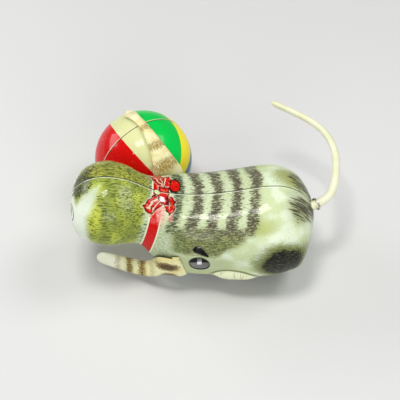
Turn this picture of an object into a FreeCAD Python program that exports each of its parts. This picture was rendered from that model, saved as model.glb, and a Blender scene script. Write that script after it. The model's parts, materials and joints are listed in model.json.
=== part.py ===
import FreeCAD, Part
import math
import os
from FreeCAD import Vector

# Clockwork tin kitten that chases a ball. Millimetres, +X towards the head, +Y to its left, +Z up.
# Shapes are laid out in the body's own frame: y = 0 is the seam plane of the body, z = 0 the ground.
# Every piece is moved by ORIGIN_SHIFT as it is written, so that the origin lies under the whole toy.
ORIGIN_SHIFT = Vector(3.985, 19.1, 0)

# ---- driving dimensions ------------------------------------------------------------------------
TIN = 0.4                  # thickness of the printed tinplate

# Body stations from nose to rump: x, top, bottom, half width, roundness above and below the widest line.
# A roundness of 2 is an ellipse, and more is boxier.
BODY_STATIONS = [
    (58.5, 41.0, 41.0, 0.0, 2.0, 2.0),
    (56.8, 48.5, 28.5, 13.5, 2.0, 2.0),
    (50.5, 54.8, 23.6, 18.4, 2.0, 2.0),
    (42.0, 57.0, 21.0, 20.4, 2.0, 2.0),
    (33.5, 55.2, 20.6, 18.4, 2.0, 2.0),
    (27.0, 51.8, 17.5, 15.5, 2.1, 2.2),
    (20.0, 47.4, 9.0, 17.3, 2.4, 3.0),
    (9.0, 45.0, 6.0, 21.4, 2.7, 3.4),
    (-5.0, 45.2, 5.5, 23.2, 2.5, 3.2),
    (-18.0, 47.7, 6.0, 25.0, 2.2, 2.8),
    (-30.0, 50.3, 5.0, 26.8, 2.0, 2.4),
    (-40.0, 49.4, 6.0, 25.4, 2.0, 2.2),
    (-48.0, 42.8, 10.0, 19.5, 2.0, 2.1),
    (-52.7, 32.0, 32.0, 0.0, 2.0, 2.0),
]
BODY_ROWS = 66             # spline rows along the body
BODY_COLUMNS = 34          # spline columns from the back seam round to the belly
BELLY_EDGE = 142.0         # degrees from the back seam to the belly edge where the belly is open
BELLY_OPEN_X = (24.0, 16.0, -38.0, -47.0)   # closed, fully open, fully open, closed again

# Hind paw embossed low on each flank: centre and half size along x and in degrees round the section
PAW_X, PAW_HALF_LENGTH = -16.5, 11.0
PAW_ANGLE, PAW_HALF_ANGLE = 122.0, 15.0
PAW_HEIGHT = 2.4

NECK_TAB_XY = (19.4, 0.9)
NECK_TAB_RADIUS = 1.5

# Ball
BALL = Vector(28.1, -41.0, 24.0)
BALL_RADIUS = 24.0
BALL_AXIS = Vector(-0.555, 0.832, 0).normalize()     # from the ball towards the body
BALL_SIDE = Vector(0.832, 0.555, 0).normalize()
UP = Vector(0, 0, 1)
AXLE_RADIUS = 1.0
RUNNING_GAP = 0.06         # radial clearance of a shaft that turns in a hole

# Motor: gear module and teeth, shafts (x, z), side plates
MODULE = 0.5
GREAT_TEETH, SECOND_PINION_TEETH = 36, 9
SECOND_TEETH, DRIVE_PINION_TEETH, GOVERNOR_PINION_TEETH = 30, 10, 8
WINDING_XZ = (0.3, 22.6)
WINDING_RADIUS, SECOND_RADIUS, DRIVE_RADIUS, GOVERNOR_RADIUS = 1.5, 0.8, 1.0, 0.6
SHAFT_PROUD = 0.4          # how far shafts and pillar rivets stand out of the side plates
KEY_SQUARE = 2.1           # side of the square that takes the winding key
KEY_SQUARE_Y = (13.4, 22.2)     # from where it starts to its end just inside the flank hole
SECOND_DIRECTION = 213.5   # degrees in the x-z plane from the winding arbor to the second arbor
DRIVE_HEIGHT = 9.0         # axle height, also the radius of the driven wheels
GOVERNOR_DIRECTION = 133.0
PLATE_Y = 9.5              # inner face of each side plate
PLATE = 0.8
PILLARS = [(9.5, 33.0), (-21.0, 33.0), (9.0, 10.5), (-21.5, 14.0)]
PILLAR_RADIUS, PILLAR_RIVET_RADIUS = 1.2, 0.7
WHEEL_Y = (11.2, 13.4)     # the driven wheels' inner and outer faces
RIM_RADIUS, RIM = 7.4, 0.5 # the driven wheels inside their tyres, and the thickness of their rolled rims
STRAPS = {"front_strap": (12.0, 16.0), "rear_strap": (-28.5, -24.5)}
STRAP_Z = 11.4
STRAP = 0.6

# Lever that stops the governor: pivot, finger in the drop-shaped flank hole, tail over the fly
LEVER_PIVOT = (8.1, 21.4)
LEVER_FINGER = (0.9, 31.6)
LEVER_TAIL = (-11.0, 30.8)
LEVER_Y = (11.2, 11.8)
LEVER_PIVOT_RADIUS = 0.8
DROP_HOLE = ((0.9, 31.9), 2.3, (-3.2, 28.6), 0.9)
WINDING_HOLE_RADIUS = 4.5

# Tail centreline from the rump to the tip
TAIL_POINTS = [
    Vector(-50.6, 0.6, 36.3), Vector(-53.6, -1.2, 36.7), Vector(-57.2, -3.2, 37.1), Vector(-60.8, -7.4, 37.6),
    Vector(-63.4, -16.0, 38.5), Vector(-64.6, -25.8, 39.5), Vector(-63.4, -36.0, 40.3),
    Vector(-59.0, -45.0, 41.0), Vector(-51.6, -51.8, 41.6), Vector(-43.6, -57.2, 42.0),
    Vector(-35.6, -62.2, 42.3),
]
TAIL_BASE_RADIUS, TAIL_TIP_RADIUS = 2.15, 1.45
TAIL_WIRE_RADIUS = 0.6


# ---- curves and surfaces -----------------------------------------------------------------------
def catmull_rom(rows, t):
    """Smooth curve through rows[1] ... rows[-2]; t runs from 0 to 1."""
    spans = len(rows) - 3
    index = min(int(t * spans), spans - 1)
    s = t * spans - index
    a, b, c, d = rows[index:index + 4]
    return [0.5 * (2 * q + (r - p) * s + (2 * p - 5 * q + 4 * r - w) * s ** 2 + (3 * q - p - 3 * r + w) * s ** 3)
            for p, q, r, w in zip(a, b, c, d)]


def smoothstep(low, high, value):
    s = max(0.0, min(1.0, (value - low) / (high - low)))
    return s * s * (3 - 2 * s)


def clamped_knots(count, degree):
    inner = count - degree
    knots = [i / inner for i in range(inner + 1)]
    return knots, [degree + 1] + [1] * (inner - 1) + [degree + 1]


def spline_face(rows):
    """Face of a smooth surface controlled by a grid of points."""
    u_degree = min(3, len(rows) - 1)
    v_degree = min(3, len(rows[0]) - 1)
    u_knots, u_mults = clamped_knots(len(rows), u_degree)
    v_knots, v_mults = clamped_knots(len(rows[0]), v_degree)
    surface = Part.BSplineSurface()
    surface.buildFromPolesMultsKnots(rows, u_mults, v_mults, u_knots, v_knots, False, False, u_degree, v_degree)
    return surface.toShape()


def borders(rows):
    return [rows[0], rows[-1], [row[0] for row in rows], [row[-1] for row in rows]]


def sheet_solid(outer, inner):
    """Thin closed solid between two matching grids of points."""
    faces = [spline_face(outer), spline_face(inner)]
    for edge, other in zip(borders(outer), borders(inner)):
        span = max(edge[0].distanceToPoint(point) for point in edge)
        if span > 0.01:
            faces.append(spline_face([edge, other]))
    shell = Part.makeShell(faces)
    shell.sewShape()
    solid = Part.makeSolid(shell)
    if solid.Volume < 0:
        solid.reverse()
    return solid


# ---- tin body ----------------------------------------------------------------------------------
def ghost_station(station):
    """Station beyond a pole, mirrored through the long axis, so that the nose and rump close smoothly."""
    x, top, bottom, half_width, above, below = station
    return (x, bottom, top, -half_width, above, below)


BODY_CURVE = [ghost_station(BODY_STATIONS[1])] + BODY_STATIONS + [ghost_station(BODY_STATIONS[-2])]


def section_point(station, angle, inset=0.0):
    """(y, z) on the section at an angle in degrees from the back seam, inset by the tin's thickness."""
    x, top, bottom, half_width, above, below = station
    half_height = max((top - bottom) / 2 - inset, 0.0)
    half_width = max(half_width - inset, 0.0)
    s, c = math.sin(math.radians(angle)), math.cos(math.radians(angle))
    roundness = above if c > 0 else below
    scale = (abs(s) ** roundness + abs(c) ** roundness) ** (-1 / roundness)
    return half_width * s * scale, (top + bottom) / 2 + half_height * c * scale


def last_angle(x):
    """Where the half shell ends: on the belly seam, or earlier along the open belly."""
    front_shut, front_open, rear_open, rear_shut = BELLY_OPEN_X
    opened = smoothstep(front_shut, front_open, x) * (1 - smoothstep(rear_open, rear_shut, x))
    return 180.0 - (180.0 - BELLY_EDGE) * opened


def hind_paw_height(x, angle):
    r2 = ((x - PAW_X) / PAW_HALF_LENGTH) ** 2 + ((angle - PAW_ANGLE) / PAW_HALF_ANGLE) ** 2
    return PAW_HEIGHT * max(0.0, 1 - r2 ** 2) ** 1.5


def body_grid(side, inset):
    """Grid of points over one half of the body; side is +1 on the left and -1 on the right."""
    rows = []
    for i in range(BODY_ROWS + 1):
        station = catmull_rom(BODY_CURVE, i / BODY_ROWS)
        x = station[0]
        if i in (0, BODY_ROWS):
            x -= math.copysign(inset, x)
        row = []
        for j in range(BODY_COLUMNS + 1):
            angle = last_angle(x) * j / BODY_COLUMNS
            y, z = section_point(station, angle, inset)
            bulge = hind_paw_height(x, angle)
            lean = math.radians(angle)
            if i in (0, BODY_ROWS):
                y = 0.0
                z = (station[1] + station[2]) / 2
            row.append(Vector(x, side * (y + bulge * math.sin(lean)), z + bulge * math.cos(lean)))
        rows.append(row)
    return rows


def body_station_at(x):
    """The body's station at a given x, by bisection."""
    low, high = 0.0, 1.0
    for _ in range(40):
        middle = (low + high) / 2
        if catmull_rom(BODY_CURVE, middle)[0] > x:
            low = middle
        else:
            high = middle
    return catmull_rom(BODY_CURVE, low)


def flank_y(x, z):
    """Half width of the outside of the body at x and z."""
    _, top, bottom, half_width, above, below = body_station_at(x)
    middle, half_height = (top + bottom) / 2, (top - bottom) / 2
    roundness = above if z > middle else below
    return half_width * max(0.0, 1 - (abs(z - middle) / half_height) ** roundness) ** (1 / roundness)


def cylinder_y(x, z, radius, y_low, y_high):
    return Part.makeCylinder(radius, y_high - y_low, Vector(x, y_low, z), Vector(0, 1, 0))


def prism_y(wire, y_low, y_high):
    """Prism along y from a closed wire drawn at y = 0."""
    face = Part.Face(wire)
    face.translate(Vector(0, y_low, 0))
    return face.extrude(Vector(0, y_high - y_low, 0))


def drop_wire(centre, radius, tip, tip_radius):
    """Drop outline in the x-z plane: a large circle and a small one, joined by their outer tangents."""
    start, end = Vector(centre[0], 0, centre[1]), Vector(tip[0], 0, tip[1])
    along = (end - start)
    turn = math.acos((radius - tip_radius) / along.Length)
    along.normalize()
    across = Vector(-along.z, 0, along.x)

    def at(origin, size, angle):
        return origin + along * (size * math.cos(angle)) + across * (size * math.sin(angle))

    big = Part.Arc(at(start, radius, turn), at(start, radius, math.pi), at(start, radius, -turn))
    small = Part.Arc(at(end, tip_radius, -turn), at(end, tip_radius, 0), at(end, tip_radius, turn))
    joins = [Part.LineSegment(at(start, radius, -turn), at(end, tip_radius, -turn)),
             Part.LineSegment(at(end, tip_radius, turn), at(start, radius, turn))]
    return Part.Wire([big.toShape(), joins[0].toShape(), small.toShape(), joins[1].toShape()])


def body_shell(side):
    return sheet_solid(body_grid(side, 0.0), body_grid(side, TIN))


def make_left_shell():
    shell = body_shell(1)
    winding_hole = cylinder_y(*WINDING_XZ, WINDING_HOLE_RADIUS, 14, 30)
    lever_hole = prism_y(drop_wire(*DROP_HOLE), 14, 30)
    return shell.cut(winding_hole).cut(lever_hole)


def make_right_shell():
    axle_hole = Part.makeCylinder(AXLE_RADIUS + 0.5, 10, BALL + BALL_AXIS * (BALL_RADIUS - 2), BALL_AXIS)
    return body_shell(-1).cut(axle_hole)


def make_neck_tab():
    """Small round ear of tin, folded flat over the nape seam."""
    x, y = NECK_TAB_XY
    z = body_station_at(x)[1] - 0.10
    tilt = Vector(-0.50, 0.05, 1).normalize()
    return Part.makeCylinder(NECK_TAB_RADIUS, TIN, Vector(x, y, z), tilt)


# ---- forelegs ----------------------------------------------------------------------------------
def channel_solid(stations, rows=40, columns=12):
    """Half-round tin channel. A station is centre, side, outward normal (3 numbers each), half width, height."""
    curve = [stations[0]] + stations + [stations[-1]]
    grids = ([], [])
    for i in range(rows + 1):
        values = catmull_rom(curve, i / rows)
        centre, side, normal = Vector(*values[0:3]), Vector(*values[3:6]), Vector(*values[6:9])
        side.normalize()
        normal = (normal - side * normal.dot(side)).normalize()
        for grid, inset in zip(grids, (0.0, TIN)):
            half_width, height = values[9] - inset, values[10] - inset
            row = []
            for j in range(columns + 1):
                angle = math.radians(-86 + 172 * j / columns)
                row.append(centre + side * (half_width * math.sin(angle)) + normal * (height * math.cos(angle)))
            grid.append(row)
    return sheet_solid(*grids)


LEFT_LEG = [
    # x, y, z of the centre, half width, height, degrees that the outer side leans up, slant of the edge along x
    (7.5, 21.6, 18.6, 6.1, 0.5, -5, 0.24),
    (9.6, 21.4, 17.4, 7.3, 1.0, -6, 0.08),
    (13.5, 20.7, 17.6, 8.0, 1.6, -8, 0),
    (18.5, 19.3, 16.6, 7.7, 1.9, -4, 0),
    (21.8, 17.6, 13.0, 5.6, 2.3, 10, 0),
    (25.5, 15.4, 9.3, 4.0, 2.6, 25, 0),
    (32.0, 12.3, 7.0, 3.7, 2.6, 36, 0),
    (39.0, 9.2, 5.7, 3.4, 2.4, 40, 0),
    (45.0, 6.2, 4.3, 3.1, 2.1, 42, 0),
    (48.4, 4.6, 3.2, 2.4, 1.7, 42, 0),
    (49.8, 4.0, 2.6, 0.9, 0.9, 42, 0),
]
LEG_TAB = (9.4, 12.6, 24.5, 26.7)     # small tab above the shoulder plate: x from and to, z from and to
LEG_TAB_Y = 21.95


def make_left_foreleg():
    """Foreleg laid forward from the shoulder plate on the flank to a paw that skids on the ground."""
    stations = []
    for x, y, z, half_width, height, lean, slant in LEFT_LEG:
        c, s = math.cos(math.radians(lean)), math.sin(math.radians(lean))
        stations.append((x, y, z, slant, -s, c, 0, c, s, half_width, height))
    x_low, x_high, z_low, z_high = LEG_TAB
    tab = Part.makeBox(x_high - x_low, TIN, z_high - z_low, Vector(x_low, LEG_TAB_Y, z_low))
    return channel_solid(stations).fuse(tab)


RIGHT_LEG_OVER_BALL = [
    # degrees from the ball's axis, half width
    (121, 1.0), (118, 2.4), (113, 3.0), (106, 2.6), (97, 2.1), (84, 2.2), (70, 3.0), (56, 3.9), (42, 5.4), (30, 7.0),
]
RIGHT_LEG_SHOULDER = [
    # centre, half width: the last stretch lies between the ball and the flank
    (15.0, -21.9, 33.6, 7.2), (14.2, -20.9, 30.2, 6.6), (13.9, -20.6, 28.4, 5.4),
]
RIGHT_LEG_GAP, RIGHT_LEG_CROWN = 0.8, 1.5


def make_right_foreleg():
    """Foreleg that reaches from the right shoulder over the top of the ball."""
    stations = []
    for degrees, half_width in RIGHT_LEG_OVER_BALL:
        c, s = math.cos(math.radians(degrees)), math.sin(math.radians(degrees))
        normal = BALL_AXIS * c + UP * s
        centre = BALL + normal * (BALL_RADIUS + RIGHT_LEG_GAP)
        stations.append((*centre, *BALL_SIDE, *normal, half_width, RIGHT_LEG_CROWN))
    for x, y, z, half_width in RIGHT_LEG_SHOULDER:
        stations.append((x, y, z, 0.95, 0.31, 0, -0.31, 0.95, 0.1, half_width, 0.7))
    leg = channel_solid(stations, rows=56)
    for sideways in (-0.9, 0.9):
        c, s = math.cos(math.radians(121)), math.sin(math.radians(121))
        normal = BALL_AXIS * c + UP * s
        notch = Part.makeCylinder(0.35, 6, BALL + BALL_SIDE * sideways + normal * BALL_RADIUS, normal)
        leg = leg.cut(notch)
    return leg


# ---- ball --------------------------------------------------------------------------------------
BALL_RIM = 0.05            # each half stops this far short of the ball's middle plane
SLEEVE_DEPTH = 2.0         # how far the sleeve of the outer half reaches into the inner half
SLEEVE_GAP, SLEEVE_END_GAP, SLEEVE_WALL = 0.08, 0.22, 0.5


def segment(x1, z1, x2, z2):
    return Part.LineSegment(Vector(x1, 0, z1), Vector(x2, 0, z2)).toShape()


def ball_half(direction, sleeve):
    """Hemisphere of tin round the axle; with a sleeve inside its rim that the other half slides over."""
    inner = BALL_RADIUS - TIN
    hole = AXLE_RADIUS + RUNNING_GAP
    outer_top = math.sqrt(BALL_RADIUS ** 2 - hole ** 2)
    inner_top = math.sqrt(inner ** 2 - hole ** 2)
    edges = [
        Part.Arc(Vector(hole, 0, outer_top), Vector(BALL_RADIUS, 0, BALL_RADIUS) * math.sqrt(0.5),
                 Vector(BALL_RADIUS, 0, BALL_RIM)).toShape(),
    ]
    if sleeve:
        wall = inner - SLEEVE_WALL
        start, end = inner - SLEEVE_GAP, inner - SLEEVE_END_GAP
        arc_z = math.sqrt(inner ** 2 - wall ** 2)
        edges += [
            segment(BALL_RADIUS, BALL_RIM, start, BALL_RIM), segment(start, BALL_RIM, end, -SLEEVE_DEPTH),
            segment(end, -SLEEVE_DEPTH, wall, -SLEEVE_DEPTH), segment(wall, -SLEEVE_DEPTH, wall, arc_z),
        ]
        arc_x = wall
    else:
        arc_x, arc_z = inner, BALL_RIM
        edges.append(segment(BALL_RADIUS, BALL_RIM, inner, BALL_RIM))
    edges += [
        Part.Arc(Vector(arc_x, 0, arc_z), Vector(inner, 0, inner) * math.sqrt(0.5),
                 Vector(hole, 0, inner_top)).toShape(),
        segment(hole, inner_top, hole, outer_top),
    ]
    solid = Part.Face(Part.Wire(edges)).revolve(Vector(), UP, 360)
    solid.Placement = FreeCAD.Placement(BALL, FreeCAD.Rotation(UP, direction))
    return solid


def make_ball_inner_half():
    return ball_half(BALL_AXIS, False)


def make_ball_outer_half():
    return ball_half(BALL_AXIS * -1, True)


def along_axle(distance):
    """Point on the ball's axle, measured from the ball's centre towards the body."""
    return BALL + BALL_AXIS * distance


BRACKET_AT = 33.0          # distance from the ball's centre to the bracket that holds the axle
AXLE_OUT, AXLE_IN = -25.6, 34.4
BRACKET, BRACKET_WIDTH, BRACKET_REACH, BRACKET_FOOT_X = 0.8, 8.0, 4.0, 4.0


def make_ball_axle():
    """Fixed wire axle, riveted over at the outer end and behind the bracket."""
    wire = Part.makeCylinder(AXLE_RADIUS, AXLE_IN - AXLE_OUT, along_axle(AXLE_OUT), BALL_AXIS)
    head = Part.makeCylinder(1.7, 0.7, along_axle(AXLE_OUT), BALL_AXIS)
    collar = Part.makeCylinder(1.6, 0.6, along_axle(BRACKET_AT - 0.6), BALL_AXIS)
    return wire.fuse([head, collar])


def make_ball_washers():
    washers = []
    for start in (-24.8, 24.1):
        disc = Part.makeCylinder(2.6, 0.3, along_axle(start), BALL_AXIS)
        hole = Part.makeCylinder(AXLE_RADIUS, 1, along_axle(start - 0.3), BALL_AXIS)
        washers.append(disc.cut(hole))
    return Part.makeCompound(washers)


def make_ball_bracket():
    """Folded strip: one leg flat on the right side plate, the other square to the ball's axle."""
    face_y = -(PLATE_Y + PLATE)
    hold = along_axle(BRACKET_AT)
    hold.z = 0

    def on_leg(offset, y):
        """Point of the leg that holds the axle, where it crosses that y."""
        start = hold + BALL_AXIS * offset
        return start + BALL_SIDE * ((y - start.y) / BALL_SIDE.y)

    end = hold - BALL_SIDE * BRACKET_REACH
    corners = [
        Vector(BRACKET_FOOT_X, face_y, 0), on_leg(0, face_y), end, end + BALL_AXIS * BRACKET,
        on_leg(BRACKET, face_y - BRACKET), Vector(BRACKET_FOOT_X, face_y - BRACKET, 0),
    ]
    strip = Part.Face(Part.makePolygon(corners + corners[:1])).extrude(UP * BRACKET_WIDTH)
    strip.translate(UP * (BALL.z - BRACKET_WIDTH / 2))
    return strip.cut(Part.makeCylinder(AXLE_RADIUS, 6, along_axle(BRACKET_AT - 3), BALL_AXIS))


# ---- tail --------------------------------------------------------------------------------------
def tail_curve():
    curve = Part.BSplineCurve()
    curve.interpolate(TAIL_POINTS)
    return curve


def circle_at(curve, t, radius):
    parameter = curve.FirstParameter + t * (curve.LastParameter - curve.FirstParameter)
    point, tangent = curve.value(parameter), curve.tangent(parameter)[0]
    return Part.Wire(Part.Circle(point, tangent, radius).toShape())


def make_tail_sleeve():
    curve = tail_curve()
    steps = [0.0, 0.04, 0.12, 0.22, 0.32, 0.42, 0.52, 0.62, 0.72, 0.82, 0.91, 0.965]
    rings = []
    for t in steps:
        radius = TAIL_BASE_RADIUS + (TAIL_TIP_RADIUS - TAIL_BASE_RADIUS) * t
        rings.append(circle_at(curve, t, radius))
    rings.append(circle_at(curve, 0.988, TAIL_TIP_RADIUS * 0.80))
    rings.append(circle_at(curve, 0.998, TAIL_TIP_RADIUS * 0.42))
    return Part.makeLoft(rings, True, False)


def make_tail_wire():
    """Spring wire inside the sleeve."""
    curve = tail_curve()
    steps = [0.01, 0.12, 0.24, 0.36, 0.48, 0.60, 0.72, 0.84, 0.92]
    return Part.makeLoft([circle_at(curve, t, TAIL_WIRE_RADIUS) for t in steps], True, False)


def make_tail_eyelet():
    """Tin eyelet in the rump, round the root of the tail."""
    start, end = TAIL_POINTS[1], TAIL_POINTS[2]
    direction = (end - start).normalize()
    seat = start - direction * 0.4
    ring = Part.makeCylinder(TAIL_BASE_RADIUS + 0.8, 0.7, seat, direction)
    return ring.cut(Part.makeCylinder(TAIL_BASE_RADIUS + 0.02, 4, seat - direction * 2, direction))


# ---- motor -------------------------------------------------------------------------------------
def polar(centre, radius, degrees):
    angle = math.radians(degrees)
    return (centre[0] + radius * math.cos(angle), centre[1] + radius * math.sin(angle))


def pitch_radius(teeth):
    return MODULE * teeth / 2


SECOND_XZ = polar(WINDING_XZ, pitch_radius(GREAT_TEETH + SECOND_PINION_TEETH), SECOND_DIRECTION)
DRIVE_DROP = SECOND_XZ[1] - DRIVE_HEIGHT
DRIVE_DISTANCE = pitch_radius(SECOND_TEETH + DRIVE_PINION_TEETH)
DRIVE_XZ = (SECOND_XZ[0] - math.sqrt(DRIVE_DISTANCE ** 2 - DRIVE_DROP ** 2), DRIVE_HEIGHT)
GOVERNOR_XZ = polar(SECOND_XZ, pitch_radius(SECOND_TEETH + GOVERNOR_PINION_TEETH), GOVERNOR_DIRECTION)


def direction_degrees(start, end):
    return math.degrees(math.atan2(end[1] - start[1], end[0] - start[0]))


def mesh_phase(teeth, phase, towards, other_teeth):
    """Angle of a tooth of the second gear, so that it meshes with the first one's teeth at `phase`."""
    ahead = (phase - towards) % (360 / teeth)
    return towards + 180 - ahead * teeth / other_teeth + 180 / other_teeth


GREAT_PHASE = 0.0
SECOND_PINION_PHASE = mesh_phase(GREAT_TEETH, GREAT_PHASE, SECOND_DIRECTION, SECOND_PINION_TEETH)
SECOND_PHASE = 0.0
DRIVE_PHASE = mesh_phase(SECOND_TEETH, SECOND_PHASE, direction_degrees(SECOND_XZ, DRIVE_XZ), DRIVE_PINION_TEETH)
GOVERNOR_PHASE = mesh_phase(SECOND_TEETH, SECOND_PHASE, GOVERNOR_DIRECTION, GOVERNOR_PINION_TEETH)


def gear(centre, teeth, phase, y_low, y_high, bore):
    """Stamped gear: each tooth has a wide foot, a pitch-line width and a narrow tip."""
    pitch = pitch_radius(teeth)
    levels = [(pitch - 1.15 * MODULE, 0.27), (pitch, 0.205), (pitch + 0.9 * MODULE, 0.085)]
    if teeth < 16:
        levels = [(pitch - 1.25 * MODULE, 0.20), (pitch, 0.175), (pitch + 0.8 * MODULE, 0.075)]
    step = 360 / teeth
    corners = []
    for tooth in range(teeth):
        middle = phase + tooth * step
        rising = [(radius, middle - share * step) for radius, share in levels]
        falling = [(radius, middle + share * step) for radius, share in reversed(levels)]
        for radius, degrees in rising + falling:
            x, z = polar(centre, radius, degrees)
            corners.append(Vector(x, 0, z))
    blank = prism_y(Part.makePolygon(corners + corners[:1]), y_low, y_high)
    return blank.cut(cylinder_y(*centre, bore, y_low - 1, y_high + 1))


def make_side_plate(side):
    inner, outer = PLATE_Y * side, (PLATE_Y + PLATE) * side
    low, high = min(inner, outer), max(inner, outer)
    outline = [(-28.5, STRAP_Z + STRAP), (-24.0, STRAP_Z + STRAP), (-24.0, 6.8), (12.0, 6.8),
               (12.0, STRAP_Z + STRAP), (16.0, STRAP_Z + STRAP), (16.0, 18.0), (12.0, 20.0), (12.0, 34.0),
               (10.0, 36.0), (-22.0, 36.0), (-24.0, 34.0), (-24.0, 20.0), (-28.5, 18.0)]
    corners = [Vector(x, 0, z) for x, z in outline]
    plate = prism_y(Part.makePolygon(corners + corners[:1]), low, high)
    shafts = [(WINDING_XZ, WINDING_RADIUS), (SECOND_XZ, SECOND_RADIUS), (DRIVE_XZ, DRIVE_RADIUS),
              (GOVERNOR_XZ, GOVERNOR_RADIUS)]
    holes = [(centre, radius + RUNNING_GAP) for centre, radius in shafts]
    holes += [(pillar, PILLAR_RIVET_RADIUS) for pillar in PILLARS]
    if side > 0:
        holes.append((LEVER_PIVOT, LEVER_PIVOT_RADIUS))
    for centre, radius in holes:
        plate = plate.cut(cylinder_y(*centre, radius, low - 1, high + 1))
    if side > 0:
        window = Part.makeBox(4.6, 4, 10.5, Vector(LEVER_TAIL[0] - 3.4, low - 1, LEVER_TAIL[1] - 8.5))
        plate = plate.cut(window)
    return plate


def make_left_plate():
    return make_side_plate(1)


def make_right_plate():
    return make_side_plate(-1)


def through_plates(centre, radius):
    """Round shaft that reaches through both side plates."""
    end = PLATE_Y + PLATE + SHAFT_PROUD
    return cylinder_y(*centre, radius, -end, end)


def make_frame_pillars():
    """Four spacers with riveted ends."""
    pillars = []
    for x, z in PILLARS:
        pillar = cylinder_y(x, z, PILLAR_RADIUS, -PLATE_Y, PLATE_Y)
        pillars.append(pillar.fuse(through_plates((x, z), PILLAR_RIVET_RADIUS)))
    return Part.makeCompound(pillars)


def make_strap(name):
    """Cross strap under the motor; its ends turn up along the inside of the two shells."""
    x_low, x_high = STRAPS[name]
    ear_top, bend = STRAP_Z + 7.5, STRAP_Z + 1.0

    def inside(z):
        return min(flank_y(x_low, z), flank_y(x_high, z)) - TIN - 0.25

    outer = [(inside(ear_top), ear_top), (inside(bend), bend), (inside(STRAP_Z) - 1.2, STRAP_Z)]
    inner = [(y - STRAP, z + (STRAP if z == STRAP_Z else 0)) for y, z in reversed(outer)]
    left = outer + [(-y, z) for y, z in reversed(outer)]
    right = [(-y, z) for y, z in reversed(inner)] + inner
    corners = [Vector(x_low, y, z) for y, z in left + right]
    return Part.Face(Part.makePolygon(corners + corners[:1])).extrude(Vector(x_high - x_low, 0, 0))


def make_winding_arbor():
    """Shaft that the key winds: round in the plates, square where the key fits."""
    x, z = WINDING_XZ
    shaft = cylinder_y(x, z, WINDING_RADIUS, -PLATE_Y - PLATE - SHAFT_PROUD, KEY_SQUARE_Y[0] + 0.6)
    corner = Vector(x - KEY_SQUARE / 2, KEY_SQUARE_Y[0], z - KEY_SQUARE / 2)
    return shaft.fuse(Part.makeBox(KEY_SQUARE, KEY_SQUARE_Y[1] - KEY_SQUARE_Y[0], KEY_SQUARE, corner))


RATCHET_TEETH = 12
RATCHET_START = 20.0       # degrees of the first tooth, so that the click rests behind one


def make_ratchet_wheel():
    corners = []
    for tooth in range(RATCHET_TEETH):
        start = RATCHET_START + tooth * 360 / RATCHET_TEETH
        for radius, degrees in ((3.5, start), (4.5, start + 2)):
            x, z = polar(WINDING_XZ, radius, degrees)
            corners.append(Vector(x, 0, z))
    wheel = prism_y(Part.makePolygon(corners + corners[:1]), -8.6, -7.8)
    return wheel.cut(cylinder_y(*WINDING_XZ, WINDING_RADIUS, -10, -6))


def make_great_wheel():
    return gear(WINDING_XZ, GREAT_TEETH, GREAT_PHASE, -6.6, -5.6, WINDING_RADIUS + RUNNING_GAP)


def make_click_spring():
    """Leaf spring riveted to the great wheel; its tip rests behind a ratchet tooth."""
    rivet = polar(WINDING_XZ, 6.9, 118)
    tip = polar(WINDING_XZ, 4.4, 165)
    direction = Vector(tip[0] - rivet[0], 0, tip[1] - rivet[1])
    across = Vector(-direction.z, 0, direction.x).normalize() * 0.2
    start, end = Vector(rivet[0], 0, rivet[1]), Vector(tip[0], 0, tip[1])
    outline = [start - across, end - across, end + across, start + across]
    leaf = prism_y(Part.makePolygon(outline + outline[:1]), -8.5, -7.9)
    return leaf.fuse(cylinder_y(*rivet, 0.7, -8.5, -6.6))


SPRING_TURNS = 6
SPRING_INNER, SPRING_OUTER = 1.72, 9.1
SPRING_LEAF = 0.36


def make_mainspring():
    """Flat spiral spring from the arbor out to the upper front pillar."""
    hook_x, hook_z = PILLARS[0]
    hook_angle = direction_degrees(WINDING_XZ, (hook_x, hook_z))
    reach = math.hypot(hook_x - WINDING_XZ[0], hook_z - WINDING_XZ[1])
    steps_per_turn = 16
    steps = SPRING_TURNS * steps_per_turn
    sides = ([], [])
    for i in range(steps + 1):
        radius = SPRING_INNER + (SPRING_OUTER - SPRING_INNER) * i / steps
        last_bend = smoothstep(steps - 3, steps, i)
        radius += (reach - PILLAR_RADIUS - SPRING_LEAF / 2 - SPRING_OUTER) * last_bend
        degrees = hook_angle + (i - steps) * 360 / steps_per_turn
        for side, offset in zip(sides, (-SPRING_LEAF / 2, SPRING_LEAF / 2)):
            x, z = polar(WINDING_XZ, radius + offset, degrees)
            side.append(Vector(x, 0, z))
    curves = []
    for side in sides:
        curve = Part.BSplineCurve()
        curve.interpolate(side)
        curves.append(curve.toShape())
    ends = [Part.LineSegment(sides[0][k], sides[1][k]).toShape() for k in (0, -1)]
    return prism_y(Part.Wire([curves[0], ends[1], curves[1], ends[0]]), -4.0, 2.0)


def make_second_arbor():
    return through_plates(SECOND_XZ, SECOND_RADIUS)


def make_second_pinion():
    return gear(SECOND_XZ, SECOND_PINION_TEETH, SECOND_PINION_PHASE, -7.3, -5.0, SECOND_RADIUS)


def make_second_wheel():
    return gear(SECOND_XZ, SECOND_TEETH, SECOND_PHASE, 3.6, 4.5, SECOND_RADIUS)


def make_drive_axle():
    return cylinder_y(*DRIVE_XZ, DRIVE_RADIUS, -WHEEL_Y[1] - SHAFT_PROUD, WHEEL_Y[1] + SHAFT_PROUD)


def make_drive_pinion():
    return gear(DRIVE_XZ, DRIVE_PINION_TEETH, DRIVE_PHASE, 2.8, 5.3, DRIVE_RADIUS)


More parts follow.
